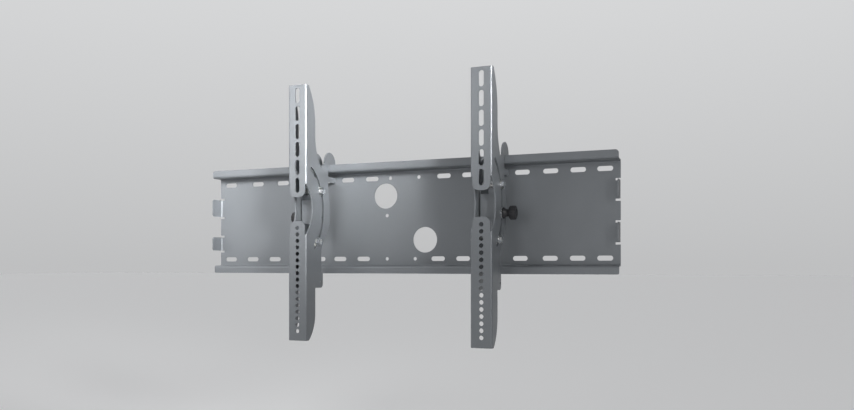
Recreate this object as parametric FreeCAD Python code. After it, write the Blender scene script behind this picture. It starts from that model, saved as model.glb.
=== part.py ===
import FreeCAD, Part
import math
import os

# Tilting wall bracket: a slotted plate, and two arms that slide along it and tilt.
# X runs along the wall, Y into the wall and Z up. The back of the wall plate lies on Y = 0,
# and the origin is the middle of that back face. Lengths are in millimetres, angles in degrees.

# Wall plate
plate_length = 850.0
plate_web_height = 186.0
plate_sheet = 2.0
plate_bend = 3.0
top_rail_depth = 30.0
top_lip_height = 14.0
bottom_rail_depth = 24.0
bottom_lip_height = 14.0
top_lip_corner = 6.0
bottom_lip_corner = 3.0
wall_slot_length = 28.0
wall_slot_width = 9.0
row_margin = 13.0
end_slot_margin = 27.0
top_slot_places = [-330, -268, -168, -115, -61, 92, 143, 194, 247, 300, 350]
bottom_slot_places = [-343, -288, -234, -181, -133, -80, 80, 131, 182, 243, 299, 349]
cable_hole_bore = 50.0
cable_hole_places = [(-31.0, 45.0), (53.0, -43.0)]
pilot_hole_bore = 7.0
top_pilot_places = [-21.0, 40.0]
bottom_pilot_places = [-28.0, 32.0]
middle_pilot_place = (-28.0, 6.0)
tab_depth = 32.0
tab_corner = 5.0
tab_notch_width = 4.0
tab_notch_depth = 9.0
left_tab_spans = [(12.0, 48.0), (-61.0, -32.5)]
right_tab_spans = [(25.5, 58.0), (-52.0, -17.0)]

# Upright arms that carry the load on their front faces
arm_width = 39.3
arm_front_face = 125.0
arm_top = 250.0
arm_bottom = -236.0
arm_sheet = 2.5
arm_bend = 1.0
cheek_depth = 34.0
top_corner_depth = 10.0
top_curve_length = 70.0
bottom_curve_length = 50.0
flare_radius = 90.0
lower_flare_height = -95.0
shoulder_angle = -11.0
shoulder_radius = 30.0
lower_flare_radius = 20.0
window_top = 62.0
window_bottom = -35.0
window_depth = 24.0
tongue_width = 32.0
tongue_corner = 11.0
upper_tongue_end = 37.0
lower_tongue_end = -9.0
screen_slot_count = 6
screen_slot_length = 28.4
screen_slot_width = 9.0
screen_slot_pitch = 34.1
screen_slot_margin = 6.0
screen_hole_count = 17
screen_hole_bore = 8.0
screen_hole_pitch = 12.25
screen_hole_margin = 18.0

# Tilt: both guide bolts and the knob's stud run in one curved slot about the tilt axis
axis_forward = 27.0
axis_height = 13.0
slot_radius = 91.0
slot_top_angle = 59.3
slot_bottom_angle = -49.6
rear_radius = 119.0
upper_bolt_angle = 25.0
lower_bolt_angle = -41.0
knob_angle = -7.6

# Hook brackets that hang on the wall plate's top rail, inside the arms
hook_sheet = 2.5
hook_bend = 1.0
hook_side_gap = 1.0
hook_web_setback = 41.0
hook_web_top = 34.0
hook_web_bottom = -12.0
hook_web_relief = 1.5
ear_width = 46.0
ear_rise = 25.0
ear_shoulder_drop = 25.0
ear_corner = 2.0
lip_slot_room = 2.5
lip_slot_corner = 1.0
rail_corner = 3.0
nose_gap = 8.0
nose_height = 11.0
nose_corner = 3.0
neck_top_drop = 5.0
neck_front_round = 12.0
neck_rear_margin = 1.0
neck_rear_corner = 4.0
neck_rear_end = 30.0
neck_rear_round = 30.0
leg_setback = 27.0
leg_depth = 37.0
leg_rear_top = -40.0
leg_rear_round = 20.0
leg_front_top = -32.0
leg_front_round = 8.0
web_foot_corner = 3.0
foot_heel = 6.0
foot_heel_corner = 2.0
foot_rear_round = 8.0
foot_front_round = 4.0
foot_top_rise = 1.0
foot_height = 29.0
foot_hole_bore = 5.0
foot_hole_inset = 5.0
foot_hole_rise = 12.0

# Fasteners and knobs
bolt_size = 8.0
bolt_head_width = 13.0
bolt_head_height = 5.3
bolt_end_chamfer = 0.8
nut_width = 13.0
hexagon_bevel = 0.3
hexagon_bevel_angle = 30.0
lock_nut_height = 8.0
lock_nut_collar_height = 2.0
lock_nut_collar_width = 11.4
weld_nut_height = 6.5
bolt_end_proud = 2.0
washer_width = 16.0
washer_sheet = 1.6
washer_bore_room = 0.4
disc_width = 18.0
sleeve_width = 12.0
sleeve_bore_room = 0.6
knob_head_width = 25.0
knob_waist_width = 13.5
knob_collar_width = 20.0
knob_length = 24.5
knob_head_length = 12.0
knob_collar_length = 3.0
knob_taper_length = 6.0
knob_edge = 2.5
knob_flute_count = 10
knob_flute_radius = 2.6
knob_flute_depth = 0.9
stud_in_knob = 18.0

# Places along the rail, and clearances
left_arm_place = -159.5
right_arm_place = 205.0
fit_gap = 0.05
slide_gap = 0.1
seat_gap = 0.3
slot_gap = 0.3
cutter_overrun = 1.0
full_round = 0.999

wall_slot_row = plate_web_height / 2 - row_margin
end_slot_place = plate_length / 2 - end_slot_margin
rail_shelf_top = plate_web_height / 2 + plate_sheet
top_lip_top = rail_shelf_top + top_lip_height
bottom_shelf_bottom = -plate_web_height / 2 - plate_sheet
bottom_lip_end = bottom_shelf_bottom - bottom_lip_height
arm_front = -arm_front_face
web_back = arm_front + arm_sheet + arm_bend
axis_y = arm_front - axis_forward
arm_inner_half = arm_width / 2 - arm_sheet
hook_half = arm_inner_half - hook_side_gap
hook_inner_half = hook_half - hook_sheet
slot_width = bolt_size + 2 * slot_gap
hook_web_front = arm_front + hook_web_setback
leg_front = arm_front + leg_setback
leg_rear = leg_front + leg_depth
foot_rear = leg_rear + foot_heel
foot_top = bottom_lip_end + foot_top_rise
foot_bottom = foot_top - foot_height


def line(a, b):
    return Part.LineSegment(FreeCAD.Vector(*a), FreeCAD.Vector(*b)).toShape()


def arc(a, middle, b):
    return Part.Arc(FreeCAD.Vector(*a), FreeCAD.Vector(*middle), FreeCAD.Vector(*b)).toShape()


def place_yz(point):
    return (0.0, point[0], point[1])


def place_xy(point):
    return (point[0], point[1], 0.0)


def place_xz(point):
    return (point[0], 0.0, point[1])


def place_side(point):
    """Side view of an arm: distance behind its front face, and height."""
    return (0.0, arm_front + point[0], point[1])


def unit(a, b):
    length = math.hypot(b[0] - a[0], b[1] - a[1])
    return ((b[0] - a[0]) / length, (b[1] - a[1]) / length)


def polar(centre, radius, angle):
    turn = math.radians(angle)
    return (centre[0] + radius * math.cos(turn), centre[1] + radius * math.sin(turn))


def corner_arc(before, corner, after, radius):
    """Start, middle and end of the arc that rounds one corner of an outline."""
    u = unit(corner, before)
    v = unit(corner, after)
    half = math.acos(max(-1.0, min(1.0, u[0] * v[0] + u[1] * v[1]))) / 2
    reach = radius / math.tan(half)
    middle_way = unit((0.0, 0.0), (u[0] + v[0], u[1] + v[1]))
    bite = radius / math.sin(half) - radius
    start = (corner[0] + u[0] * reach, corner[1] + u[1] * reach)
    end = (corner[0] + v[0] * reach, corner[1] + v[1] * reach)
    middle = (corner[0] + middle_way[0] * bite, corner[1] + middle_way[1] * bite)
    return start, middle, end


def rounded_face(corners, place):
    """A flat face with straight sides; each corner is (a, b, radius)."""
    count = len(corners)
    spans = []
    for i in range(count):
        a, b, radius = corners[i]
        if radius > 0:
            spans.append(corner_arc(corners[i - 1][:2], (a, b), corners[(i + 1) % count][:2], radius))
        else:
            spans.append(((a, b), None, (a, b)))
    edges = []
    for i in range(count):
        start, middle, end = spans[i]
        if middle:
            edges.append(arc(place(start), place(middle), place(end)))
        following = spans[(i + 1) % count][0]
        if math.hypot(following[0] - end[0], following[1] - end[1]) > 1e-6:
            edges.append(line(place(end), place(following)))
    return Part.Face(Part.Wire(edges))


def across(face, low, high):
    """A face in the YZ plane drawn out between two places along X."""
    face.translate(FreeCAD.Vector(low, 0, 0))
    return face.extrude(FreeCAD.Vector(high - low, 0, 0))


def box(low, high):
    corner = FreeCAD.Vector(*[min(a, b) for a, b in zip(low, high)])
    sizes = [abs(b - a) for a, b in zip(low, high)]
    return Part.makeBox(*sizes, corner)


def rod(radius, start, direction, length):
    return Part.makeCylinder(radius, length, FreeCAD.Vector(*start), FreeCAD.Vector(*direction))


def folded_section(path, sheet, bend, place):
    """A strip of sheet bent along a path; the path is the sheet's middle line."""
    sides = []
    for sign in (1, -1):
        offset = sign * sheet / 2
        points = []
        radii = []
        for i in range(len(path)):
            if i == 0:
                u = unit(path[0], path[1])
                points.append((path[0][0] - u[1] * offset, path[0][1] + u[0] * offset))
                radii.append(0.0)
            elif i == len(path) - 1:
                u = unit(path[i - 1], path[i])
                points.append((path[i][0] - u[1] * offset, path[i][1] + u[0] * offset))
                radii.append(0.0)
            else:
                u = unit(path[i - 1], path[i])
                v = unit(path[i], path[i + 1])
                turn = u[0] * v[1] - u[1] * v[0]
                reach = offset * (1 - (u[0] * v[0] + u[1] * v[1])) / turn
                points.append((path[i][0] - u[1] * offset - u[0] * reach,
                               path[i][1] + u[0] * offset - u[1] * reach))
                inside = turn * sign > 0
                radii.append(bend if inside else bend + sheet)
        sides.append([(p[0], p[1], r) for p, r in zip(points, radii)])
    return rounded_face(sides[0] + sides[1][::-1], place)


def obround(centre, length, width, place, upright=False):
    half = length / 2
    r = width / 2
    near = r * full_round
    along = half if not upright else r
    over = r if not upright else half
    corners = [(-along, -over, near), (along, -over, near), (along, over, near), (-along, over, near)]
    return rounded_face([(centre[0] + a, centre[1] + b, c) for a, b, c in corners], place)


def web_cutter(face, low, high):
    """A face in the XZ plane drawn out between two places along Y."""
    face.translate(FreeCAD.Vector(0, low, 0))
    return face.extrude(FreeCAD.Vector(0, high - low, 0))


def wall_tab(span, side):
    """One tab folded forward from the end of the plate's web."""
    end = side * (plate_length / 2 - plate_sheet / 2)
    path = [(end - side * tab_notch_depth, -plate_sheet / 2), (end, -plate_sheet / 2), (end, -tab_depth)]
    section = folded_section(path, plate_sheet, plate_bend, place_xy)
    section.translate(FreeCAD.Vector(0, 0, span[0]))
    tab = section.extrude(FreeCAD.Vector(0, 0, span[1] - span[0]))
    outline = rounded_face([(cutter_overrun, span[0], 0), (cutter_overrun, span[1], 0),
                            (-tab_depth, span[1], tab_corner), (-tab_depth, span[0], tab_corner)], place_yz)
    return tab.common(across(outline, -plate_length, plate_length))


def make_wall_plate():
    top_z = plate_web_height / 2 + plate_sheet / 2
    path = [(-bottom_rail_depth + plate_sheet / 2, bottom_lip_end),
            (-bottom_rail_depth + plate_sheet / 2, -top_z),
            (-plate_sheet / 2, -top_z),
            (-plate_sheet / 2, top_z),
            (-top_rail_depth + plate_sheet / 2, top_z),
            (-top_rail_depth + plate_sheet / 2, top_lip_top)]
    section = folded_section(path, plate_sheet, plate_bend, place_yz)
    plate = across(section, -plate_length / 2, plate_length / 2)
    half = plate_length / 2
    front = rounded_face([(-half, bottom_lip_end, bottom_lip_corner), (half, bottom_lip_end, bottom_lip_corner),
                          (half, top_lip_top, top_lip_corner), (-half, top_lip_top, top_lip_corner)], place_xz)
    plate = plate.common(web_cutter(front, -top_rail_depth - cutter_overrun, cutter_overrun))
    before = -plate_sheet - cutter_overrun
    cuts = []
    tabs = []
    for side, spans in ((-1, left_tab_spans), (1, right_tab_spans)):
        for low, high in spans:
            tabs.append(wall_tab((low, high), side))
            cuts.append(box((side * (half - tab_notch_depth), before, low - tab_notch_width),
                            (side * (half + cutter_overrun), cutter_overrun, high + tab_notch_width)))
    for row, places in ((wall_slot_row, top_slot_places), (-wall_slot_row, bottom_slot_places)):
        for x in [-end_slot_place] + places + [end_slot_place]:
            slot = obround((x, row), wall_slot_length, wall_slot_width, place_xz)
            cuts.append(web_cutter(slot, before, cutter_overrun))
    pilot_holes = [(x, wall_slot_row) for x in top_pilot_places]
    pilot_holes += [(x, -wall_slot_row) for x in bottom_pilot_places]
    pilot_holes += [middle_pilot_place]
    for places, bore in ((cable_hole_places, cable_hole_bore), (pilot_holes, pilot_hole_bore)):
        for x, z in places:
            cuts.append(rod(bore / 2, (x, before, z), (0, 1, 0), plate_sheet + 2 * cutter_overrun))
    return plate.cut(cuts).fuse(tabs).removeSplitter()


def cheek_outline():
    """Side view of an arm, drawn as distance behind the front face and height."""
    centre = (-axis_forward, axis_height)
    top_reach = cheek_depth - top_corner_depth
    edges = [line(place_side((0.0, arm_bottom)), place_side((0.0, arm_top))),
             line(place_side((0.0, arm_top)), place_side((top_corner_depth, arm_top)))]
    # rounded top corner, tangent to the straight rear edge
    top_radius = (top_reach ** 2 + top_curve_length ** 2) / (2 * top_reach)
    top_centre = (cheek_depth - top_radius, arm_top - top_curve_length)
    top_turn = math.degrees(math.asin(top_curve_length / top_radius))
    edges.append(arc(place_side((top_corner_depth, arm_top)),
                     place_side(polar(top_centre, top_radius, top_turn / 2)),
                     place_side((cheek_depth, top_centre[1]))))
    # hollow flare from the rear edge to the round back about the tilt axis
    flare_x = cheek_depth + flare_radius
    flare_rise = math.sqrt((rear_radius + flare_radius) ** 2 - (flare_x - centre[0]) ** 2)
    flare_centre = (flare_x, axis_height + flare_rise)
    flare_angle = math.degrees(math.atan2(flare_rise, flare_x - centre[0]))
    flare_end = polar(centre, rear_radius, flare_angle)
    edges.append(line(place_side((cheek_depth, top_centre[1])), place_side((cheek_depth, flare_centre[1]))))
    edges.append(arc(place_side((cheek_depth, flare_centre[1])),
                     place_side(polar(flare_centre, flare_radius, 180 + flare_angle / 2)),
                     place_side(flare_end)))
    # round shoulder below it, and the sloping edge that leaves it for the straight rear edge
    foot = (cheek_depth, lower_flare_height)
    shoulder_centre = polar(centre, rear_radius - shoulder_radius, shoulder_angle)
    shoulder_top = polar(centre, rear_radius, shoulder_angle)
    reach = math.hypot(shoulder_centre[0] - foot[0], shoulder_centre[1] - foot[1])
    rise = math.degrees(math.atan2(shoulder_centre[1] - foot[1], shoulder_centre[0] - foot[0]))
    end_angle = rise - math.degrees(math.asin(shoulder_radius / reach)) - 90
    shoulder_end = polar(shoulder_centre, shoulder_radius, end_angle)
    edges.append(arc(place_side(flare_end),
                     place_side(polar(centre, rear_radius, (flare_angle + shoulder_angle) / 2)),
                     place_side(shoulder_top)))
    edges.append(arc(place_side(shoulder_top),
                     place_side(polar(shoulder_centre, shoulder_radius, (shoulder_angle + end_angle) / 2)),
                     place_side(shoulder_end)))
    start, middle, end = corner_arc(shoulder_end, foot, (cheek_depth, arm_bottom), lower_flare_radius)
    edges.append(line(place_side(shoulder_end), place_side(start)))
    edges.append(arc(place_side(start), place_side(middle), place_side(end)))
    # rounded bottom corner
    bottom_radius = (top_reach ** 2 + bottom_curve_length ** 2) / (2 * top_reach)
    bottom_centre = (cheek_depth - bottom_radius, arm_bottom + bottom_curve_length)
    bottom_turn = -math.degrees(math.asin(bottom_curve_length / bottom_radius))
    edges.append(line(place_side(end), place_side((cheek_depth, bottom_centre[1]))))
    edges.append(arc(place_side((cheek_depth, bottom_centre[1])),
                     place_side(polar(bottom_centre, bottom_radius, bottom_turn / 2)),
                     place_side((top_corner_depth, arm_bottom))))
    edges.append(line(place_side((top_corner_depth, arm_bottom)), place_side((0.0, arm_bottom))))
    return Part.Face(Part.Wire(edges))


def window_lens():
    """Side view of the gap that both cheeks have beside the window."""
    top = (0.0, window_top)
    deepest = (window_depth, (window_top + window_bottom) / 2)
    bottom = (0.0, window_bottom)
    before_bottom = (-cutter_overrun, window_bottom)
    before_top = (-cutter_overrun, window_top)
    edges = [arc(place_side(top), place_side(deepest), place_side(bottom)),
             line(place_side(bottom), place_side(before_bottom)),
             line(place_side(before_bottom), place_side(before_top)),
             line(place_side(before_top), place_side(top))]
    return Part.Face(Part.Wire(edges))


def window_between_tongues():
    """Front view of the gap between the two rounded tongues of the web."""
    half = arm_width / 2 + cutter_overrun
    return box((-half, arm_front - cutter_overrun, lower_tongue_end), (half, web_back, upper_tongue_end))


def tongue_corner_cut(end, way, side):
    """The waste outside one rounded corner of a tongue; way is +1 where the tongue points up."""
    edge = side * tongue_width / 2
    before = arm_front - cutter_overrun
    round_x = edge - side * tongue_corner
    round_z = end - way * tongue_corner
    waste = box((edge + side * cutter_overrun, before, end + way * cutter_overrun),
                (round_x, web_back, round_z))
    kept = rod(tongue_corner, (round_x, before, round_z), (0, 1, 0), web_back - before)
    return waste.cut(kept)


def curved_slot():
    """Slot of constant width about the tilt axis, in side view."""
    centre = (axis_y, axis_height)
    r = slot_width / 2
    low, high = slot_bottom_angle, slot_top_angle
    middle = (low + high) / 2
    outer = slot_radius + r
    inner = slot_radius - r
    top_end = polar(centre, slot_radius, high)
    bottom_end = polar(centre, slot_radius, low)
    edges = [arc(place_yz(polar(centre, outer, low)), place_yz(polar(centre, outer, middle)),
                 place_yz(polar(centre, outer, high))),
             arc(place_yz(polar(centre, outer, high)), place_yz(polar(top_end, r, high + 90)),
                 place_yz(polar(centre, inner, high))),
             arc(place_yz(polar(centre, inner, high)), place_yz(polar(centre, inner, middle)),
                 place_yz(polar(centre, inner, low))),
             arc(place_yz(polar(centre, inner, low)), place_yz(polar(bottom_end, r, low - 90)),
                 place_yz(polar(centre, outer, low)))]
    return Part.Face(Part.Wire(edges))


def make_arm(x):
    """Folded channel with its web to the front, a window and two curved slots."""
    deep = axis_y + rear_radius + cutter_overrun
    side = arm_width / 2 - arm_sheet / 2
    front = arm_front + arm_sheet / 2
    section = folded_section([(-side, deep), (-side, front), (side, front), (side, deep)],
                             arm_sheet, arm_bend, place_xy)
    section.translate(FreeCAD.Vector(0, 0, arm_bottom))
    channel = section.extrude(FreeCAD.Vector(0, 0, arm_top - arm_bottom))
    half = arm_width / 2 + cutter_overrun
    arm = channel.common(across(cheek_outline(), -half, half))
    cuts = [window_between_tongues(), across(curved_slot(), -half, half)]
    for sign in (-1, 1):
        cuts.append(across(window_lens(), sign * half, sign * tongue_width / 2))
        cuts.append(tongue_corner_cut(upper_tongue_end, -1, sign))
        cuts.append(tongue_corner_cut(lower_tongue_end, 1, sign))
    first_slot = arm_top - screen_slot_margin - screen_slot_length / 2
    for i in range(screen_slot_count):
        slot = obround((0.0, first_slot - i * screen_slot_pitch), screen_slot_length, screen_slot_width,
                       place_xz, upright=True)
        cuts.append(web_cutter(slot, arm_front - cutter_overrun, arm_front + arm_sheet + cutter_overrun))
    last_hole = arm_bottom + screen_hole_margin
    for i in range(screen_hole_count):
        place = (0, arm_front - cutter_overrun, last_hole + i * screen_hole_pitch)
        cuts.append(rod(screen_hole_bore / 2, place, (0, 1, 0), arm_sheet + 2 * cutter_overrun))
    arm = arm.cut(cuts).removeSplitter()
    arm.translate(FreeCAD.Vector(x, 0, 0))
    return arm


def guide_place(angle):
    return polar((axis_y, axis_height), slot_radius, angle)


def hook_profile():
    """Side view of a hook bracket: ear behind the rail's lip, nose under its shelf, leg and foot."""
    wall_side = -plate_sheet - seat_gap
    ear_front = wall_side - ear_width
    ear_top = top_lip_top + ear_rise
    ear_round = ear_width / 2 * full_round
    seat = rail_shelf_top + seat_gap + plate_bend
    lip_slot_top = top_lip_top + seat_gap
    lip_back = -top_rail_depth + plate_sheet + seat_gap
    lip_front = -top_rail_depth - lip_slot_room
    nose_top = rail_shelf_top - plate_sheet - nose_gap
    nose_bottom = nose_top - nose_height
    neck_rear = lip_front - neck_rear_margin
    return rounded_face([
        (wall_side, ear_top, ear_round),
        (wall_side, seat, rail_corner),
        (lip_back, seat, rail_corner),
        (lip_back, lip_slot_top, lip_slot_corner),
        (lip_front, lip_slot_top, lip_slot_corner),
        (lip_front, nose_top, nose_corner),
        (wall_side, nose_top, nose_corner),
        (wall_side, nose_bottom, nose_corner),
        (neck_rear, nose_bottom, neck_rear_corner),
        (neck_rear, neck_rear_end, neck_rear_round),
        (leg_rear, leg_rear_top, leg_rear_round),
        (leg_rear, foot_top, foot_heel_corner),
        (foot_rear, foot_top, foot_heel_corner),
        (foot_rear, foot_bottom, foot_rear_round),
        (leg_front, foot_bottom, foot_front_round),
        (leg_front, leg_front_top, leg_front_round),
        (hook_web_front, hook_web_bottom - hook_web_relief, web_foot_corner),
        (hook_web_front, rail_shelf_top - neck_top_drop, neck_front_round),
        (ear_front, ear_top - ear_shoulder_drop, ear_corner),
        (ear_front, ear_top, ear_round)], place_yz)


def make_hook(x):
    """Folded channel: two hook-shaped cheeks joined by a short web at the front."""
    cheeks = []
    for sign in (-1, 1):
        cheek = across(hook_profile(), sign * hook_inner_half, sign * hook_half)
        cheeks.append(cheek)
    hook_round = hook_bend + hook_sheet
    front = hook_web_front
    wide = hook_half + cutter_overrun
    relief = box((-wide, front - cutter_overrun, hook_web_bottom - hook_web_relief),
                 (wide, front + hook_round, hook_web_top + hook_web_relief))
    side = hook_half - hook_sheet / 2
    section = folded_section([(-side, front + 2 * hook_round), (-side, front + hook_sheet / 2),
                              (side, front + hook_sheet / 2), (side, front + 2 * hook_round)],
                             hook_sheet, hook_bend, place_xy)
    section.translate(FreeCAD.Vector(0, 0, hook_web_bottom))
    web = section.extrude(FreeCAD.Vector(0, 0, hook_web_top - hook_web_bottom))
    hook = cheeks[0].fuse([cheeks[1]]).cut(relief).fuse(web)
    cuts = []
    for angle in (upper_bolt_angle, lower_bolt_angle, knob_angle):
        y, z = guide_place(angle)
        cuts.append(rod(bolt_size / 2 + fit_gap, (-wide, y, z), (1, 0, 0), 2 * wide))
    foot_hole = (-wide, foot_rear - foot_hole_inset, foot_bottom + foot_hole_rise)
    cuts.append(rod(foot_hole_bore / 2, foot_hole, (1, 0, 0), 2 * wide))
    hook = hook.cut(cuts).removeSplitter()
    hook.translate(FreeCAD.Vector(x, 0, 0))
    return hook


def hexagon(width, height, start, direction):
    """Hexagonal prism along X, with its edges bevelled at the outer end."""
    corner = width / math.sqrt(3)
    points = [FreeCAD.Vector(0, *polar((0, 0), corner, 90 - 60 * i)) for i in range(7)]
    face = Part.Face(Part.makePolygon(points))
    prism = face.extrude(FreeCAD.Vector(direction * height, 0, 0))
    end_radius = width / 2 - hexagon_bevel
    base_radius = end_radius + height / math.tan(math.radians(hexagon_bevel_angle))
    bevel = Part.makeCone(base_radius, end_radius, height, FreeCAD.Vector(0, 0, 0),
                          FreeCAD.Vector(direction, 0, 0))
    head = prism.common(bevel)
    head.translate(FreeCAD.Vector(*start))
    return head


def ring(outer, inner, start, direction, thickness):
    """Washer, disc or sleeve: outer and inner are diameters."""
    body = rod(outer / 2, start, (direction, 0, 0), thickness)
    before = (start[0] - direction * cutter_overrun, start[1], start[2])
    return body.cut(rod(inner / 2, before, (direction, 0, 0), thickness + 2 * cutter_overrun))


def end_edges(shape, x):
    return [edge for edge in shape.Edges if abs(edge.CenterOfMass.x - x) < 1e-3]


def make_bolt(x, angle):
    y, z = guide_place(angle)
    seat = x + arm_width / 2 + slide_gap + washer_sheet
    tip = x - arm_width / 2 - slide_gap - washer_sheet - lock_nut_height - bolt_end_proud
    shank = rod(bolt_size / 2, (tip, y, z), (1, 0, 0), seat - tip)
    shank = shank.makeChamfer(bolt_end_chamfer, end_edges(shank, tip))
    return shank.fuse(hexagon(bolt_head_width, bolt_head_height, (seat, y, z), 1)).removeSplitter()


def make_lock_nut(x, angle):
    y, z = guide_place(angle)
    seat = x - arm_width / 2 - slide_gap - washer_sheet
    flats = lock_nut_height - lock_nut_collar_height
    nut = hexagon(nut_width, flats, (seat, y, z), -1)
    collar = rod(lock_nut_collar_width / 2, (seat - flats, y, z), (-1, 0, 0), lock_nut_collar_height)
    bore = rod(bolt_size / 2 + fit_gap, (seat + cutter_overrun, y, z), (-1, 0, 0),
               lock_nut_height + 2 * cutter_overrun)
    return nut.fuse(collar).cut(bore).removeSplitter()


def make_washers(x, knob_side):
    """Flat washers outside the cheeks: two on each guide bolt and one under the knob."""
    rings = []
    bore = bolt_size + washer_bore_room
    for angle in (upper_bolt_angle, lower_bolt_angle):
        y, z = guide_place(angle)
        for side in (-1, 1):
            start = (x + side * (arm_width / 2 + slide_gap), y, z)
            rings.append(ring(washer_width, bore, start, side, washer_sheet))
    y, z = guide_place(knob_angle)
    start = (x + knob_side * (arm_width / 2 + slide_gap), y, z)
    rings.append(ring(knob_collar_width, bore, start, knob_side, washer_sheet))
    return Part.makeCompound(rings)


def make_discs(x, knob_side):
    """Plastic discs in the gap between the hook bracket's cheeks and the arm's cheeks."""
    rings = []
    bore = bolt_size + washer_bore_room
    thickness = hook_side_gap - slide_gap
    for angle in (upper_bolt_angle, lower_bolt_angle, knob_angle):
        y, z = guide_place(angle)
        for side in (-1, 1):
            if angle == knob_angle and side != knob_side:
                continue
            rings.append(ring(disc_width, bore, (x + side * hook_half, y, z), side, thickness))
    return Part.makeCompound(rings)


def make_sleeve(x, angle):
    """Tube round a guide bolt that holds the hook bracket's cheeks apart."""
    y, z = guide_place(angle)
    return ring(sleeve_width, bolt_size + sleeve_bore_room, (x - hook_inner_half, y, z), 1,
                2 * hook_inner_half)


def make_weld_nut(x, knob_side):
    """Nut welded inside the hook bracket, which takes the knob's stud."""
    y, z = guide_place(knob_angle)
    seat = x + knob_side * hook_inner_half
    nut = hexagon(nut_width, weld_nut_height, (seat, y, z), -knob_side)
    return nut.cut(rod(bolt_size / 2 + fit_gap, (seat + knob_side * cutter_overrun, y, z), (-knob_side, 0, 0),
                       weld_nut_height + 2 * cutter_overrun))


def knob_seat(x, knob_side):
    return x + knob_side * (arm_width / 2 + slide_gap + washer_sheet + slide_gap)


def make_knob(x, knob_side):
    """Turned knob with a collar, a waist and a fluted head, bored for its stud."""
    y, z = guide_place(knob_angle)
    head_start = knob_length - knob_head_length
    taper_end = knob_collar_length + knob_taper_length
    half_head = knob_head_width / 2
    points = [(0.0, 0.0), (knob_collar_width / 2, 0.0), (knob_collar_width / 2, knob_collar_length),
              (knob_waist_width / 2, taper_end), (knob_waist_width / 2, head_start),
              (half_head - knob_edge, head_start), (half_head, head_start + knob_edge),
              (half_head, knob_length - knob_edge), (half_head - knob_edge, knob_length), (0.0, knob_length)]
    outline = [FreeCAD.Vector(a, r, 0) for r, a in points]
    face = Part.Face(Part.makePolygon(outline + outline[:1]))
    knob = face.revolve(FreeCAD.Vector(0, 0, 0), FreeCAD.Vector(1, 0, 0), 360)
    flutes = []
    way = half_head + knob_flute_radius - knob_flute_depth
    for i in range(knob_flute_count):
        y_flute, z_flute = polar((0, 0), way, 360.0 * i / knob_flute_count)
        flutes.append(rod(knob_flute_radius, (head_start - cutter_overrun, y_flute, z_flute), (1, 0, 0),
                          knob_head_length + 2 * cutter_overrun))
    knob = knob.cut(flutes)
    knob = knob.cut(rod(bolt_size / 2 + fit_gap, (-cutter_overrun, 0, 0), (1, 0, 0),
                        stud_in_knob + cutter_overrun))
    if knob_side < 0:
        knob.rotate(FreeCAD.Vector(0, 0, 0), FreeCAD.Vector(0, 0, 1), 180)
    knob.translate(FreeCAD.Vector(knob_seat(x, knob_side), y, z))
    return knob


def make_stud(x, knob_side):
    """Threaded stud fixed in the knob, through the slot and into the weld nut."""
    y, z = guide_place(knob_angle)
    inner = x + knob_side * (hook_inner_half - weld_nut_height - bolt_end_proud)
    outer = knob_seat(x, knob_side) + knob_side * (stud_in_knob - fit_gap)
    stud = rod(bolt_size / 2, (inner, y, z), (knob_side, 0, 0), abs(outer - inner))
    return stud.makeChamfer(bolt_end_chamfer, end_edges(stud, inner))


nodes = {"wall_plate": make_wall_plate()}
for side_name, arm_x, knob_way in (("left", left_arm_place, -1), ("right", right_arm_place, 1)):
    nodes[side_name + "_tv_arm"] = make_arm(arm_x)
    nodes[side_name + "_hook_bracket"] = make_hook(arm_x)
    nodes[side_name + "_upper_guide_bolt"] = make_bolt(arm_x, upper_bolt_angle)
    nodes[side_name + "_lower_guide_bolt"] = make_bolt(arm_x, lower_bolt_angle)
    nodes[side_name + "_upper_lock_nut"] = make_lock_nut(arm_x, upper_bolt_angle)
    nodes[side_name + "_lower_lock_nut"] = make_lock_nut(arm_x, lower_bolt_angle)
    nodes[side_name + "_flat_washers"] = make_washers(arm_x, knob_way)
    nodes[side_name + "_sliding_discs"] = make_discs(arm_x, knob_way)
    nodes[side_name + "_upper_spacer_sleeve"] = make_sleeve(arm_x, upper_bolt_angle)
    nodes[side_name + "_lower_spacer_sleeve"] = make_sleeve(arm_x, lower_bolt_angle)
    nodes[side_name + "_weld_nut"] = make_weld_nut(arm_x, knob_way)
    nodes[side_name + "_tilt_knob"] = make_knob(arm_x, knob_way)
    nodes[side_name + "_knob_stud"] = make_stud(arm_x, knob_way)

for name, shape in nodes.items():
    if not shape.isValid():
        print(name, "is not a valid shape")
    print(name, len(shape.Solids), round(shape.Volume, 1), shape.BoundBox)
    shape.exportStep("parts/" + name + ".step")
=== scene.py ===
# Tilting wall bracket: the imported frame, finished, dressed and lit. Lengths in metres.
import math

import bmesh
import bpy
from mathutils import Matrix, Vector


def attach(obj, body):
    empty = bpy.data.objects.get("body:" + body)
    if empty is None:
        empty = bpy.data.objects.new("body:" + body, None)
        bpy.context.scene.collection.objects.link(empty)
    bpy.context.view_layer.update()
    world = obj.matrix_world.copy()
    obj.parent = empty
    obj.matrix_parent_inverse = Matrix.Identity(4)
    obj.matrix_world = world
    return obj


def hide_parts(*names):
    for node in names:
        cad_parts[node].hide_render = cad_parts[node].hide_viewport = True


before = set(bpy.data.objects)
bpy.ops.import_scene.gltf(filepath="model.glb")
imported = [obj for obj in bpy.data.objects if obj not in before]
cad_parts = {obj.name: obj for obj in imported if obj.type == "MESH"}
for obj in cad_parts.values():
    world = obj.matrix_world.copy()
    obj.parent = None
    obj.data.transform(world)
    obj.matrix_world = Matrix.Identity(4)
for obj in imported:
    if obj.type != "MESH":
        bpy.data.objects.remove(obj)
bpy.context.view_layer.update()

mm = 0.001
scene = bpy.context.scene

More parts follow.
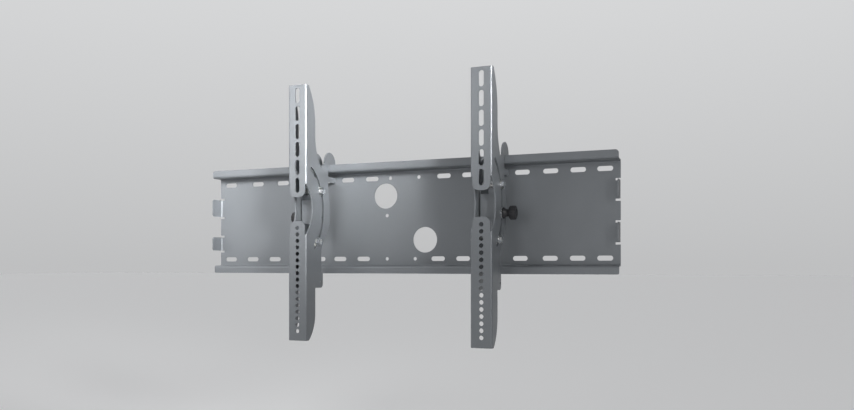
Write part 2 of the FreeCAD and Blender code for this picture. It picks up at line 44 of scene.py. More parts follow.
# the camera that the edges in the photograph give, for a frame of 854 x 410
view = {
    "width": 854.0,
    "height": 410.0,
    "focalPixels": 746.25,
    "place": (0.5833, -1.3577, -0.0924),
    "turn": 21.21,             # to the left of straight at the wall
    "horizonRow": 265.04,
    "sensor": 36.0,
}


def makeCamera():
    camera = bpy.data.objects.new("viewCamera", bpy.data.cameras.new("viewCamera"))
    camera.data.sensor_width = view["sensor"]
    camera.data.lens = view["focalPixels"] * view["sensor"] / view["width"]
    camera.data.shift_y = (view["horizonRow"] - view["height"] / 2) / view["width"]
    camera.location = view["place"]
    camera.rotation_euler = (math.radians(90), 0, math.radians(view["turn"]))
    scene.collection.objects.link(camera)
    scene.camera = camera


# soft light from the front and the left, so the left end is the lightest, as in the photograph
studio = {
    "floorHeight": -0.62,
    "floorHalf": 40.0,
    "floorTone": (0.92, 0.92, 0.92),
    "floorRough": 0.9,
    "shownLow": (0.520, 0.524, 0.530),
    "shownHigh": (0.98, 0.99, 1.00),
    "lightLow": (0.575, 0.578, 0.583),
    "lightHigh": (1.42, 1.43, 1.45),
    "paleWay": (-0.94, 0.34, 0.0),
    "roomFrom": -0.30,         # how far a direction turns towards paleWay, from -1 to 1
    "roomTo": 0.60,
    "roomShare": 0.15,         # how light the dim side is, next to the light one
    "lamps": [
        {"name": "armLamp", "place": (0.90, -0.90, 0.45), "aim": (-0.17, -0.06, 0.22),
         "size": (0.35, 0.35), "power": 1.6, "spread": 25},
        {"name": "middleLamp", "place": (-0.16, -0.95, 0.43), "aim": (-0.43, 0.0, 0.12),
         "size": (0.3, 0.3), "power": 1.05, "spread": 52},
        {"name": "frontLamp", "place": (0.30, -1.60, 0.15), "aim": (0.0, 0.0, 0.0),
         "size": (0.8, 0.8), "power": 1.74, "spread": 180},
        {"name": "leftLamp", "place": (-1.15, -1.20, 0.50), "aim": (-0.35, 0.0, 0.10),
         "size": (1.0, 1.0), "power": 0.4, "spread": 60},
        {"name": "foldLamp", "place": (1.20, -1.00, 0.20), "aim": (0.10, -0.10, 0.05),
         "size": (0.06, 0.9), "power": 0.5, "spread": 60},
    ],
}


def aimAt(piece, target):
    way = Vector(target) - piece.location
    piece.rotation_euler = way.to_track_quat("-Z", "Y").to_euler()


def makeFloor():
    h = studio["floorHalf"]
    z = studio["floorHeight"]
    mesh = bpy.data.meshes.new("studioFloor")
    mesh.from_pydata([(-h, -h, z), (h, -h, z), (h, h, z), (-h, h, z)], [], [(0, 1, 2, 3)])
    floor = bpy.data.objects.new("studioFloor", mesh)
    scene.collection.objects.link(floor)
    paint = bpy.data.materials.new("floorPaint")
    paint.use_nodes = True
    shader = paint.node_tree.nodes["Principled BSDF"]
    shader.inputs["Base Color"].default_value = (*studio["floorTone"], 1)
    shader.inputs["Roughness"].default_value = studio["floorRough"]
    mesh.materials.append(paint)


# two skies: the one that shows is even all round and meets the floor's far end without a line,
# and the one that lights the bracket is dim in front of it, as a room is, and bright overhead
def addSkyTones(nodes, links, height, low, high):
    ramp = nodes.new("ShaderNodeValToRGB")
    ramp.color_ramp.elements[0].position = 0.0
    ramp.color_ramp.elements[0].color = (*low, 1)
    ramp.color_ramp.elements[1].position = 1.0
    ramp.color_ramp.elements[1].color = (*high, 1)
    back = nodes.new("ShaderNodeBackground")
    links.new(height, ramp.inputs["Fac"])
    links.new(ramp.outputs["Color"], back.inputs["Color"])
    return back


def makeSky():
    sky = bpy.data.worlds.new("studioSky")
    scene.world = sky
    sky.use_nodes = True
    nodes = sky.node_tree.nodes
    links = sky.node_tree.links
    place = nodes.new("ShaderNodeTexCoord")
    split = nodes.new("ShaderNodeSeparateXYZ")
    links.new(place.outputs["Generated"], split.inputs[0])
    shown = addSkyTones(nodes, links, split.outputs["Z"], studio["shownLow"], studio["shownHigh"])
    light = addSkyTones(nodes, links, split.outputs["Z"], studio["lightLow"], studio["lightHigh"])
    side = nodes.new("ShaderNodeVectorMath")
    side.operation = "DOT_PRODUCT"
    side.inputs[1].default_value = studio["paleWay"]
    links.new(place.outputs["Generated"], side.inputs[0])
    room = nodes.new("ShaderNodeMapRange")
    room.interpolation_type = "SMOOTHSTEP"
    room.inputs["From Min"].default_value = studio["roomFrom"]
    room.inputs["From Max"].default_value = studio["roomTo"]
    room.inputs["To Min"].default_value = studio["roomShare"]
    room.inputs["To Max"].default_value = 1.0
    links.new(side.outputs["Value"], room.inputs["Value"])
    links.new(room.outputs["Result"], light.inputs["Strength"])
    seen = nodes.new("ShaderNodeLightPath")
    both = nodes.new("ShaderNodeMixShader")
    links.new(seen.outputs["Is Camera Ray"], both.inputs["Fac"])
    links.new(light.outputs["Background"], both.inputs[1])
    links.new(shown.outputs["Background"], both.inputs[2])
    links.new(both.outputs["Shader"], nodes["World Output"].inputs["Surface"])
    nodes.remove(nodes["Background"])


def makeLamps():
    for lamp in studio["lamps"]:
        data = bpy.data.lights.new(lamp["name"], "AREA")
        data.shape = "RECTANGLE"
        data.size, data.size_y = lamp["size"]
        data.energy = lamp["power"]
        data.spread = math.radians(lamp["spread"])
        piece = bpy.data.objects.new(lamp["name"], data)
        piece.visible_camera = False
        piece.location = lamp["place"]
        aimAt(piece, lamp["aim"])
        scene.collection.objects.link(piece)


makeCamera()
makeFloor()
makeSky()
makeLamps()
scene.view_settings.view_transform = "Standard"
print("camera, floor, sky and lamps set")

# every finish is made once here, and the pieces pick theirs by name
finishes = {}


def startFinish(name, colour, metal, rough):
    paint = bpy.data.materials.new(name)
    paint.use_nodes = True
    paint.diffuse_color = (*colour, 1)
    tree = paint.node_tree
    shader = tree.nodes["Principled BSDF"]
    shader.inputs["Base Color"].default_value = (*colour, 1)
    shader.inputs["Metallic"].default_value = metal
    shader.inputs["Roughness"].default_value = rough
    finishes[name] = paint
    return tree, shader


def addNoise(tree, size, detail, roughness=0.5):
    # size is the width of one grain
    place = tree.nodes.new("ShaderNodeTexCoord")
    noise = tree.nodes.new("ShaderNodeTexNoise")
    noise.inputs["Scale"].default_value = 1.0 / size
    noise.inputs["Detail"].default_value = detail
    noise.inputs["Roughness"].default_value = roughness
    tree.links.new(place.outputs["Object"], noise.inputs["Vector"])
    return noise.outputs["Fac"]


def addSpeckle(tree, size):
    place = tree.nodes.new("ShaderNodeTexCoord")
    cells = tree.nodes.new("ShaderNodeTexVoronoi")
    cells.inputs["Scale"].default_value = 1.0 / size
    split = tree.nodes.new("ShaderNodeSeparateColor")
    tree.links.new(place.outputs["Object"], cells.inputs["Vector"])
    tree.links.new(cells.outputs["Color"], split.inputs["Color"])
    return split.outputs["Red"]


def addRange(tree, value, low, high, fromLow=0.3, fromHigh=0.7):
    # most of a noise's values lie between 0.3 and 0.7
    node = tree.nodes.new("ShaderNodeMapRange")
    node.inputs["From Min"].default_value = fromLow
    node.inputs["From Max"].default_value = fromHigh
    node.inputs["To Min"].default_value = low
    node.inputs["To Max"].default_value = high
    tree.links.new(value, node.inputs["Value"])
    return node.outputs["Result"]


def addMix(tree, share, first, second):
    node = tree.nodes.new("ShaderNodeMix")
    node.data_type = "RGBA"
    for socket, colour in ((node.inputs[6], first), (node.inputs[7], second)):    # the two colours
        if isinstance(colour, tuple):
            socket.default_value = (*colour, 1)
        else:
            tree.links.new(colour, socket)
    tree.links.new(share, node.inputs[0])
    return node.outputs[2]


def addBump(tree, shader, heights):
    # heights are (value, depth), coarse to fine
    before = None
    for value, depth in heights:
        node = tree.nodes.new("ShaderNodeBump")
        node.inputs["Strength"].default_value = 1.0
        node.inputs["Distance"].default_value = depth
        tree.links.new(value, node.inputs["Height"])
        if before:
            tree.links.new(before, node.inputs["Normal"])
        before = node.outputs["Normal"]
    tree.links.new(before, shader.inputs["Normal"])


def varyRough(tree, shader, s, detail, roughness=0.5):
    # smoother and rougher patches, as wide as the finish's smudge
    low, high = s["roughSpan"]
    patches = addNoise(tree, s["smudge"], detail, roughness)
    rough = addRange(tree, patches, s["rough"] + low, s["rough"] + high)
    tree.links.new(rough, shader.inputs["Roughness"])


def tint(colour, share):
    return tuple(min(1.0, c * share) for c in colour)


# satin silver-grey powder coat: a soft drift of tone, fine metal flake and an orange-peel skin
silverCoat = {
    "colour": (0.200, 0.213, 0.227),
    "metal": 0.45,
    "rough": 0.40,
    "roughSpan": (-0.035, 0.045),
    "smudge": 0.02,
    "drift": 0.16,
    "driftTints": (0.965, 1.035),
    "flake": 0.00035,
    "flakeTint": 1.18,
    "flakeFrom": 0.86,         # cells above this share are flakes
    "peel": 0.0011,
    "peelDepth": 0.000010,
    "grain": 0.00035,
    "grainDepth": 0.000004,
}


def makeSilverCoat():
    s = silverCoat
    tree, shader = startFinish("silverCoat", s["colour"], s["metal"], s["rough"])
    dark, pale = [tint(s["colour"], share) for share in s["driftTints"]]
    cloud = addRange(tree, addNoise(tree, s["drift"], 3.0), 0.0, 1.0)
    tone = addMix(tree, cloud, dark, pale)
    flake = addRange(tree, addSpeckle(tree, s["flake"]), 0.0, 1.0, s["flakeFrom"], 1.0)
    shade = addMix(tree, flake, tone, tint(s["colour"], s["flakeTint"]))
    tree.links.new(shade, shader.inputs["Base Color"])
    varyRough(tree, shader, s, 4.0)
    peel = addNoise(tree, s["peel"], 2.0)
    grain = addNoise(tree, s["grain"], 1.0)
    addBump(tree, shader, [(peel, s["peelDepth"]), (grain, s["grainDepth"])])


# bright zinc: cool, with faint warm and blue stains and a lightly pickled skin
zincPlate = {
    "colour": (0.60, 0.62, 0.65),
    "rough": 0.27,
    "roughSpan": (-0.06, 0.12),
    "smudge": 0.0025,
    "stain": 0.006,
    "coolStain": (0.585, 0.615, 0.665),
    "warmStain": (0.66, 0.65, 0.62),
    "skin": 0.0006,
    "skinDepth": 0.000006,
}


def makeZincPlate():
    s = zincPlate
    tree, shader = startFinish("zincPlate", s["colour"], 1.0, s["rough"])
    stain = addRange(tree, addNoise(tree, s["stain"], 3.0), 0.0, 1.0)
    shade = addMix(tree, stain, s["coolStain"], s["warmStain"])
    tree.links.new(shade, shader.inputs["Base Color"])
    varyRough(tree, shader, s, 4.0, 0.6)
    skin = addNoise(tree, s["skin"], 3.0)
    addBump(tree, shader, [(skin, s["skinDepth"])])


# natural nylon: milky, and light passes a little way into it
whiteNylon = {
    "colour": (0.78, 0.77, 0.73),
    "rough": 0.46,
    "roughSpan": (-0.05, 0.05),
    "smudge": 0.0015,
    "cloud": 0.004,
    "cloudTints": (0.95, 1.03),
    "milk": 0.12,              # share of the light that passes into it
    "milkDepth": 0.0012,
    "skin": 0.0005,
    "skinDepth": 0.000004,
}


def makeWhiteNylon():
    s = whiteNylon
    tree, shader = startFinish("whiteNylon", s["colour"], 0.0, s["rough"])
    dark, pale = [tint(s["colour"], share) for share in s["cloudTints"]]
    cloud = addRange(tree, addNoise(tree, s["cloud"], 3.0), 0.0, 1.0)
    tree.links.new(addMix(tree, cloud, dark, pale), shader.inputs["Base Color"])
    varyRough(tree, shader, s, 2.0)
    shader.inputs["Subsurface Weight"].default_value = s["milk"]
    shader.inputs["Subsurface Scale"].default_value = s["milkDepth"]
    addBump(tree, shader, [(addNoise(tree, s["skin"], 2.0), s["skinDepth"])])


# black moulded plastic with a fine spark-eroded grain
blackPlastic = {
    "colour": (0.016, 0.016, 0.018),
    "rough": 0.44,
    "roughSpan": (-0.06, 0.08),
    "smudge": 0.003,
    "cloud": 0.005,
    "cloudTints": (0.85, 1.25),
    "grain": 0.00028,
    "grainDepth": 0.000012,
}


def makeBlackPlastic():
    s = blackPlastic
    tree, shader = startFinish("blackPlastic", s["colour"], 0.0, s["rough"])
    dark, pale = [tint(s["colour"], share) for share in s["cloudTints"]]
    cloud = addRange(tree, addNoise(tree, s["cloud"], 3.0), 0.0, 1.0)
    tree.links.new(addMix(tree, cloud, dark, pale), shader.inputs["Base Color"])
    varyRough(tree, shader, s, 3.0)
    addBump(tree, shader, [(addNoise(tree, s["grain"], 2.0, 0.7), s["grainDepth"])])


makeSilverCoat()
makeZincPlate()
makeWhiteNylon()
makeBlackPlastic()
print("finishes made:", ", ".join(finishes))

# the folded sheet pieces: the plate, the two arms and the two hook brackets
sheetNodes = ["wall_plate", "left_tv_arm", "left_hook_bracket", "right_tv_arm", "right_hook_bracket"]
sheetEdges = {
    "weld": 0.00001,
    "flat": 0.15,              # degrees between faces that become one
    "round": 0.45 * mm,        # on the cut edges
    "steps": 2,
    "roundFrom": 32.0,         # degrees; blended bends are left alone
    "shadeWeight": 100,        # how much the large faces lead the shading of the small ones
}


def roundSheetEdges(piece):
    s = sheetEdges
    for face in piece.data.polygons:
        face.use_smooth = True
    weld = piece.modifiers.new("weldSeams", "WELD")
    weld.merge_threshold = s["weld"]
    flat = piece.modifiers.new("joinFlats", "DECIMATE")
    flat.decimate_type = "DISSOLVE"
    flat.angle_limit = math.radians(s["flat"])
    bevel = piece.modifiers.new("roundEdges", "BEVEL")
    bevel.width = s["round"]
    bevel.segments = s["steps"]
    bevel.limit_method = "ANGLE"
    bevel.angle_limit = math.radians(s["roundFrom"])
    bevel.harden_normals = False
    bevel.use_clamp_overlap = True
    even = piece.modifiers.new("evenShade", "WEIGHTED_NORMAL")
    even.keep_sharp = False
    even.weight = s["shadeWeight"]


for name in sheetNodes:
    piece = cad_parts[name]
    piece.data.materials.clear()
    piece.data.materials.append(finishes["silverCoat"])
    roundSheetEdges(piece)
print("sheet pieces coated:", len(sheetNodes))

# fasteners and knobs are turned and threaded in mesh code, on the axes that cross each arm
arms = {
    "left": {"place": -0.1595, "knobWay": -1},
    "right": {"place": 0.2050, "knobWay": 1},
}
guides = {                     # y and z of the three axes across each arm
    "upper": (-0.0695260, 0.0514583),
    "lower": (-0.0833214, -0.0467014),
    "knob": (-0.0617994, 0.0009647),
}
stack = {
    "armHalf": 19.65 * mm,     # half the width over the arm's cheeks
    "slideGap": 0.1 * mm,
    "washer": 1.6 * mm,
    "hookHalf": 16.15 * mm,    # half the width over the hook bracket's cheeks
    "hookInner": 13.65 * mm,   # half the width between them
}
turned = {
    "steps": 48,               # points round a washer, a disc or a sleeve
    "stampedShare": 0.4,       # how round a ring's first side is, next to its other side
    "weld": 0.000002,
    "sharpFrom": 35.0,         # degrees between faces that show as an edge
}


def newPiece(name, mesh, side, part, finish, nodes):
    mesh.materials.append(finishes[finish])
    piece = bpy.data.objects.new(name, mesh)
    scene.collection.objects.link(piece)
    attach(piece, side + "_" + part)
    if nodes:
        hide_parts(*nodes)
    return piece


def finishMesh(name, shape, sharpFrom=turned["sharpFrom"]):
    bmesh.ops.remove_doubles(shape, verts=shape.verts, dist=turned["weld"])
    bmesh.ops.recalc_face_normals(shape, faces=shape.faces)
    mesh = bpy.data.meshes.new(name)
    shape.to_mesh(mesh)
    shape.free()
    for face in mesh.polygons:
        face.use_smooth = True
    mesh.set_sharp_from_angle(angle=math.radians(sharpFrom))
    return mesh


def circle(radius, steps):
    turns = [2 * math.pi * i / steps for i in range(steps)]
    return [(radius * math.cos(a), radius * math.sin(a)) for a in turns]


def cornerArc(centre, radius, fromAngle, toAngle, steps=3):
    points = []
    for i in range(steps + 1):
        a = math.radians(fromAngle + (toAngle - fromAngle) * i / steps)
        points.append((centre[0] + radius * math.cos(a), centre[1] + radius * math.sin(a)))
    return points


# a ring of points round an axis along X; along is the distance from the seat, and the outline holds (y, z)
def plainRing(shape, start, way, outline, along):
    return [shape.verts.new((start[0] + way * along, start[1] + y, start[2] + z)) for y, z in outline]


def joinRings(shape, rows):
    for low, high in zip(rows, rows[1:]):
        count = len(low)
        for i in range(count):
            j = (i + 1) % count
            shape.faces.new([low[i], low[j], high[j], high[i]])


def capRing(shape, row):
    centre = sum((v.co for v in row), Vector()) / len(row)
    middle = shape.verts.new(centre)
    for i in range(len(row)):
        shape.faces.new([row[i], row[(i + 1) % len(row)], middle])


# a closed ring body; the profile holds (distance from the seat, radius)
def addTurned(shape, start, way, profile, steps):
    rows = [plainRing(shape, start, way, circle(radius, steps), along) for along, radius in profile]
    joinRings(shape, rows + [rows[0]])


# a flat ring with softened corners: one side is rounder, as a stamped washer's is
def addRing(shape, start, way, outer, inner, thick, soft, steps):
    low = soft * turned["stampedShare"]
    profile = cornerArc((low, outer - low), low, 180, 90)
    profile += cornerArc((thick - soft, outer - soft), soft, 90, 0)
    profile += cornerArc((thick - low, inner + low), low, 0, -90)
    profile += cornerArc((low, inner + low), low, -90, -180)
    addTurned(shape, start, way, profile, steps)


hexagon = {
    "flatSteps": 6,            # points along a flat
    "cornerSteps": 3,
    "coneAngle": 30.0,         # of the chamfer that cuts the corners
}


# a hexagon's outline with slightly rounded corners
def hexOutline(width, soft):
    slant = math.cos(math.radians(30))
    reach = width / 2 / slant - soft / slant
    corners = []
    for k in range(7):         # the seventh is the first again, to end the last flat
        middle = 60 * k + 30
        centre = (reach * math.cos(math.radians(middle)), reach * math.sin(math.radians(middle)))
        corners.append(cornerArc(centre, soft, middle - 30, middle + 30, hexagon["cornerSteps"]))
    points = []
    for corner, nextCorner in zip(corners, corners[1:]):
        points += corner
        first = corner[-1]
        last = nextCorner[0]
        for i in range(1, hexagon["flatSteps"]):
            t = i / hexagon["flatSteps"]
            points.append((first[0] + (last[0] - first[0]) * t, first[1] + (last[1] - first[1]) * t))
    return points


def scaled(outline, radius):
    return [(y * radius / math.hypot(y, z), z * radius / math.hypot(y, z)) for y, z in outline]


# the hexagon's points drawn in to circles; the profile holds (distance from the seat, radius)
def roundRings(shape, start, way, outline, profile):
    return [plainRing(shape, start, way, scaled(outline, radius), along) for along, radius in profile]


# the ring where the corner chamfer's cone cuts the hexagon; it has coneRadius at this height,
# and its corners drop towards the seat, or rise from it where sink is -1
def coneRing(shape, start, way, outline, height, coneRadius, sink):
    slope = math.tan(math.radians(hexagon["coneAngle"]))
    row = []
    for y, z in outline:
        drop = max(0.0, math.hypot(y, z) - coneRadius) * slope
        row.append(shape.verts.new((start[0] + way * (height - sink * drop), start[1] + y, start[2] + z)))
    return row


# the M8 thread of the bolts and studs
thread = {
    "size": 8.0 * mm,
    "pitch": 1.25 * mm,
    "depth": 0.62 * mm,
    "crestShare": 0.12,        # of half a pitch
    "flankShare": 0.70,
    "endChamfer": 0.8 * mm,
    "ringsPerPitch": 8,
    "steps": 32,               # points round the bar
}


# the radius follows the pitch round the bar and fades in over the runout; the open first ring is returned
def addThread(shape, start, way, length, runout):
    s = thread
    outer = s["size"] / 2
    hand = 1 if way > 0 else -1
    count = int(round(length / s["pitch"] * s["ringsPerPitch"]))
    rows = []
    for k in range(count + 1):
        along = length * k / count
        fade = min(1.0, along / runout) if runout > 0 else 1.0
        ring = []
        for i in range(s["steps"]):
            turn = i / s["steps"]
            phase = (along / s["pitch"] - hand * turn) % 1.0
            wave = abs(2 * phase - 1)
            groove = min(1.0, max(0.0, (wave - s["crestShare"]) / s["flankShare"]))
            radius = outer - s["depth"] * groove * fade
            radius = min(radius, outer - s["endChamfer"] + max(0.0, length - along))
            ring.append((radius * math.cos(2 * math.pi * turn), radius * math.sin(2 * math.pi * turn)))
        rows.append(plainRing(shape, start, way, ring, along))
    joinRings(shape, rows)
    capRing(shape, rows[-1])
    return rows[0]


bolt = {
    "headWidth": 13.0 * mm,
    "headHeight": 5.3 * mm,
    "headSoft": 0.35 * mm,
    "headRise": 0.12 * mm,     # round of the hexagon's lower edge
    "coneShare": 0.955,        # where the chamfer starts, as a share of half the head's width
    "seatWidth": 12.0 * mm,
    "seatHeight": 0.35 * mm,
    "seatRound": 0.1 * mm,
    "dishWidth": 8.6 * mm,
    "dishDepth": 0.30 * mm,
    "dishLip": 0.35 * mm,
    "dishStep": 0.08 * mm,
    "dishSlope": 0.5 * mm,
    "threadLength": 13.75 * mm,
    "runout": 1.5 * mm,
    "proud": 2.0 * mm,         # beyond the nut
}


def addHexHead(shape, start, way):
    s = bolt
    outline = hexOutline(s["headWidth"], s["headSoft"])
    half = s["headWidth"] / 2
    cone = half * s["coneShare"]
    seat = s["seatWidth"] / 2
    rise = s["seatHeight"]
    top = s["headHeight"]
    dish = s["dishWidth"] / 2
    rows = roundRings(shape, start, way, outline, [
        (0.0, thread["size"] / 2),
        (0.0, seat - s["seatRound"]),
        (s["seatRound"], seat),
        (rise, seat),
        (rise, half - s["seatRound"]),
    ])
    rows.append(plainRing(shape, start, way, outline, rise + s["headRise"]))
    rows.append(coneRing(shape, start, way, outline, top, cone, 1.0))
    rows += roundRings(shape, start, way, outline, [
        (top, cone),
        (top, dish + s["dishLip"]),
        (top - s["dishStep"], dish),
        (top - s["dishDepth"], dish - s["dishSlope"]),
    ])
    joinRings(shape, rows)
    capRing(shape, rows[-1])


def makeGuideBolt(side, which):
    s = bolt
    x = arms[side]["place"]
    y, z = guides[which]
    seat = x + stack["armHalf"] + stack["slideGap"] + stack["washer"]
    tip = x - stack["armHalf"] - stack["slideGap"] - stack["washer"] - lockNut["height"] - s["proud"]
    threadStart = tip + s["threadLength"]
    shape = bmesh.new()
    addHexHead(shape, (seat, y, z), 1)
    bar = circle(thread["size"] / 2, thread["steps"])
    shank = [plainRing(shape, (seat, y, z), -1, bar, along) for along in (0.0, seat - threadStart)]
    joinRings(shape, shank)
    addThread(shape, (threadStart, y, z), -1, s["threadLength"], s["runout"])
    name = side + "_" + which + "_guide_bolt"
    newPiece(name + "_made", finishMesh(name, shape), side, "bracket", "zincPlate", [name])


lockNut = {
    "width": 13.0 * mm,
    "flats": 6.0 * mm,         # height of the hexagon
    "height": 8.0 * mm,
    "soft": 0.35 * mm,
    "coneShare": 0.95,
    "bore": 8.1 * mm,
    "boreChamfer": 0.5 * mm,
    "collarWidth": 11.4 * mm,
    "collarRound": 0.9 * mm,
    "footWiden": 0.25 * mm,    # the collar's foot, in two rings
    "footLow": 0.05 * mm,
    "footHigh": 0.3 * mm,
    "lip": 0.3 * mm,           # turned in over the nylon ring
    "lipRound": 0.15 * mm,
    "lipDepth": 1.2 * mm,
    "seatDepth": 1.6 * mm,     # where the thread begins
    "insertOuter": 9.8 * mm,
    "insertInner": 8.1 * mm,
    "insertGap": 0.32 * mm,
    "insertDepth": 1.3 * mm,
    "insertSink": 0.35 * mm,
    "insertSoft": 0.2 * mm,
    "insertSteps": 40,
}


def makeLockNut(side, which):
    s = lockNut
    x = arms[side]["place"]
    y, z = guides[which]
    start = (x - stack["armHalf"] - stack["slideGap"] - stack["washer"], y, z)
    outline = hexOutline(s["width"], s["soft"])
    cone = s["width"] / 2 * s["coneShare"]
    bore = s["bore"] / 2
    collar = s["collarWidth"] / 2
    ringOuter = s["insertOuter"] / 2
    top = s["height"]
    edge = s["collarRound"]
    shape = bmesh.new()
    rows = roundRings(shape, start, -1, outline, [(0.0, bore + s["boreChamfer"]), (0.0, cone)])
    rows.append(coneRing(shape, start, -1, outline, 0.0, cone, -1.0))
    rows.append(coneRing(shape, start, -1, outline, s["flats"], cone, 1.0))
    profile = [
        (s["flats"] + s["footLow"], collar + s["footWiden"]),
        (s["flats"] + s["footHigh"], collar),
    ]
    profile += cornerArc((top - edge, collar - edge), edge, 90, 0, 5)
    profile += [
        (top, ringOuter - s["lipRound"]),
        (top - s["lipRound"], ringOuter - s["lip"]),
        (top - s["lipDepth"], ringOuter - s["lip"]),
        (top - s["seatDepth"], bore),
        (s["boreChamfer"], bore),
    ]
    rows += roundRings(shape, start, -1, outline, profile)
    joinRings(shape, rows + [rows[0]])
    name = side + "_" + which + "_lock_nut"
    newPiece(name + "_made", finishMesh(name, shape), side, "bracket", "zincPlate", [name])
    insert = bmesh.new()
    at = (start[0] - top + s["insertDepth"], y, z)
    addRing(insert, at, -1, ringOuter - s["insertGap"], s["insertInner"] / 2,
            s["insertDepth"] - s["insertSink"], s["insertSoft"], s["insertSteps"])
    mesh = finishMesh(name + "_insert", insert)
    newPiece(name + "_insert", mesh, side, "bracket", "whiteNylon", [])


# outer and inner are radii
washer = {"outer": 8.0 * mm, "inner": 4.2 * mm, "knobOuter": 10.0 * mm, "soft": 0.35 * mm}
disc = {"outer": 9.0 * mm, "inner": 4.2 * mm, "thick": 0.9 * mm, "soft": 0.2 * mm}
sleeve = {
    "outer": 6.0 * mm,
    "inner": 4.3 * mm,
    "chamfer": 0.5 * mm,
    "boreChamfer": 0.2 * mm,
    "sharpFrom": 30.0,
}


def makeWashers(side):
    s = washer
    x = arms[side]["place"]
    knobWay = arms[side]["knobWay"]
    shape = bmesh.new()
    reach = stack["armHalf"] + stack["slideGap"]
    for which in ("upper", "lower"):
        for way in (-1, 1):
            start = (x + way * reach, *guides[which])
            addRing(shape, start, way, s["outer"], s["inner"], stack["washer"], s["soft"], turned["steps"])
    start = (x + knobWay * reach, *guides["knob"])
    addRing(shape, start, knobWay, s["knobOuter"], s["inner"], stack["washer"], s["soft"], turned["steps"])
    name = side + "_flat_washers"
    newPiece(name + "_made", finishMesh(name, shape), side, "bracket", "zincPlate", [name])


def makeDiscs(side):
    s = disc
    x = arms[side]["place"]
    shape = bmesh.new()
    for which in ("upper", "lower", "knob"):
        for way in (-1, 1):
            if which == "knob" and way != arms[side]["knobWay"]:
                continue
            start = (x + way * stack["hookHalf"], *guides[which])
            addRing(shape, start, way, s["outer"], s["inner"], s["thick"], s["soft"], turned["steps"])
    name = side + "_sliding_discs"
    newPiece(name + "_made", finishMesh(name, shape), side, "bracket", "whiteNylon", [name])


def makeSleeve(side, which):
    s = sleeve
    x = arms[side]["place"]
    length = 2 * stack["hookInner"]
    c = s["chamfer"]
    b = s["boreChamfer"]
    profile = [(0.0, s["outer"] - c), (c, s["outer"]), (length - c, s["outer"]), (length, s["outer"] - c)]
    profile += [(length, s["inner"] + b), (length - b, s["inner"]), (b, s["inner"]), (0.0, s["inner"] + b)]
    shape = bmesh.new()
    addTurned(shape, (x - stack["hookInner"], *guides[which]), 1, profile, turned["steps"])
    name = side + "_" + which + "_spacer_sleeve"
    mesh = finishMesh(name, shape, s["sharpFrom"])
    newPiece(name + "_made", mesh, side, "bracket", "zincPlate", [name])


weldNut = {
    "width": 13.0 * mm,
    "height": 6.5 * mm,
    "bore": 8.1 * mm,
    "soft": 0.35 * mm,
    "coneShare": 0.95,
    "chamferWide": 0.55 * mm,
    "chamferDeep": 0.5 * mm,
}
# tacks of weld in the corner between a flat and the cheek
bead = {
    "angles": (0, 120, 240),
    "length": 5.0 * mm,
    "width": 2.2 * mm,
    "height": 1.5 * mm,
    "steps": 8,                # along it
    "roundSteps": 6,           # over its back
    "tip": 0.02,               # how full its two ends are
    "ripple": 0.07,
    "rippleRate": 9,
}


def addBead(shape, start, way, angle):
    s = bead
    a = math.radians(angle)
    outward = Vector((0, math.cos(a), math.sin(a)))
    along = Vector((0, -math.sin(a), math.cos(a)))
    up = Vector((way, 0, 0))
    base = Vector(start) + outward * (weldNut["width"] / 2)
    rows = []
    for i in range(s["steps"] + 1):
        t = -1 + 2 * i / s["steps"]
        fullness = math.sqrt(max(s["tip"], 1 - t * t))
        swell = fullness * (1 + s["ripple"] * math.sin(s["rippleRate"] * t))
        root = base + along * (t * s["length"] / 2)
        row = []
        for j in range(s["roundSteps"] + 1):
            b = math.radians(90 * j / s["roundSteps"])
            offset = outward * (s["width"] * swell * math.cos(b)) + up * (s["height"] * swell * math.sin(b))
            row.append(shape.verts.new(root + offset))
        row.append(shape.verts.new(root))
        rows.append(row)
    joinRings(shape, rows)
    capRing(shape, rows[0])
    capRing(shape, rows[-1])


def makeWeldNut(side):
    s = weldNut
    knobWay = arms[side]["knobWay"]
    start = (arms[side]["place"] + knobWay * stack["hookInner"], *guides["knob"])
    outline = hexOutline(s["width"], s["soft"])
    cone = s["width"] / 2 * s["coneShare"]
    bore = s["bore"] / 2
    top = s["height"]
    shape = bmesh.new()
    rows = roundRings(shape, start, -knobWay, outline, [(0.0, bore)])
    rows.append(plainRing(shape, start, -knobWay, outline, 0.0))
    rows.append(coneRing(shape, start, -knobWay, outline, top, cone, 1.0))
    rows += roundRings(shape, start, -knobWay, outline, [
        (top, cone),
        (top, bore + s["chamferWide"]),
        (top - s["chamferDeep"], bore),
    ])
    joinRings(shape, rows + [rows[0]])
    for angle in bead["angles"]:
        addBead(shape, start, -knobWay, angle)
    name = side + "_weld_nut"
    newPiece(name + "_made", finishMesh(name, shape), side, "bracket", "silverCoat", [name])


